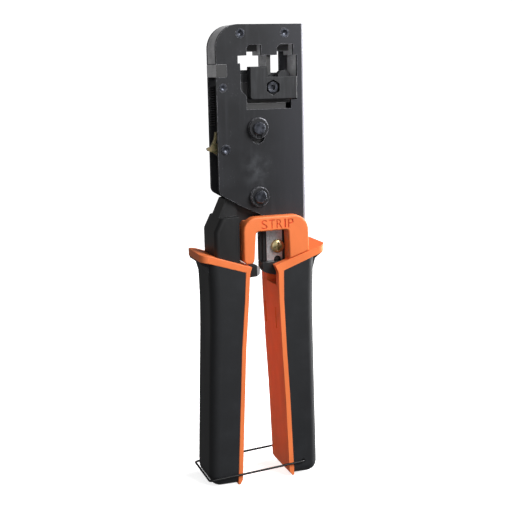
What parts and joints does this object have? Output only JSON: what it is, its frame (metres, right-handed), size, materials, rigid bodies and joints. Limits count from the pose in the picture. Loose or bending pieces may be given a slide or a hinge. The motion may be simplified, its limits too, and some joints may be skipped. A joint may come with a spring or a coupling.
{
  "type": "modular plug crimping tool",
  "caption": "Ratcheting hand crimper for modular plugs: folded steel head with plug nests, toggle ram, strip station, wire cutter, rubber grips and a wire latch.",
  "frame": {"origin": "middle of the overall footprint, at the level of the handle ends", "axes": "+Z along the tool from the handle ends to the head, front of the tool faces -Y, fixed handle on +X"},
  "size_m": [0.0544, 0.0244, 0.1909],
  "materials": {
    "black_oxide": "black oxide, satin",
    "core_steel": "ground steel",
    "dark_pin": "blackened steel",
    "die_steel": "charcoal phosphate",
    "yellow_zinc": "yellow zinc plate",
    "spring_steel": "black spring steel",
    "black_rubber": "matt moulded rubber",
    "orange_plastic": "satin moulded plastic",
    "black_plastic": "satin moulded plastic",
    "blade_steel": "ground blade steel",
    "black_wire": "black wire"
  },
  "bodies": {
    "frame": {"head_shell": "black_oxide", "jaw_core": "core_steel", "cross_tie": "core_steel", "jaw_rivets": "dark_pin", "stop_stud": "dark_pin", "pawl_pin": "dark_pin", "pivot_pin": "dark_pin", "pivot_rings": "black_oxide", "pawl_spring": "spring_steel", "fixed_grip": "black_rubber", "fixed_shell": "orange_plastic", "strip_guide": "orange_plastic", "blade_block": "black_plastic", "strip_blade": "blade_steel", "blade_screw": "yellow_zinc", "cutter_anvil": "black_plastic"},
    "moving_handle": {"lever": "core_steel", "knee_pin": "dark_pin", "moving_grip": "black_rubber", "moving_shell": "orange_plastic", "neck": "black_plastic", "cutter_nub": "black_plastic", "cutter_blade": "blade_steel"},
    "ram": {"ram": "core_steel", "die_left": "die_steel", "die_right": "die_steel", "die_plate": "die_steel", "die_screw": "dark_pin", "ram_pin": "dark_pin", "ram_rings": "black_oxide"},
    "links": {"toggle_links": "core_steel"},
    "pawl": {"pawl": "die_steel", "release_lever": "yellow_zinc"},
    "latch": {"latch_wire": "black_wire"}
  },
  "joints": [
    {"name": "handle_hinge", "type": "hinge", "parent": "frame", "child": "moving_handle", "pos_m": [-0.00035, 0, 0.1218], "axis": [0, 1, 0], "range_deg": [-1.5, 18]},
    {"name": "ram_slide", "type": "slide", "parent": "frame", "child": "ram", "axis": [0, 0, 1], "range_m": [-0.0034, 0.0003]},
    {"name": "link_hinge", "type": "hinge", "parent": "moving_handle", "child": "links", "pos_m": [0.00313, 0, 0.13575], "axis": [0, 1, 0], "range_deg": [-36, 3]},
    {"name": "pawl_hinge", "type": "hinge", "parent": "frame", "child": "pawl", "pos_m": [-0.0141, 0, 0.1414], "axis": [0, 1, 0], "range_deg": [-12, 0], "stiffness_Nm_per_rad": 0.05, "springref_deg": 17.19, "deforming": ["pawl_spring"]},
    {"name": "latch_hinge", "type": "hinge", "parent": "frame", "child": "latch", "pos_m": [0.0159, 0, 0.00665], "axis": [0, 1, 0], "range_deg": [-90, 7.5]}
  ],
  "couplings": [
    {"joint": "ram_slide", "follows": "handle_hinge", "m_per_rad": -0.0106},
    {"joint": "link_hinge", "follows": "handle_hinge", "ratio": -2},
    {"joint": "latch_hinge", "follows": "handle_hinge", "ratio": -5}
  ]
}
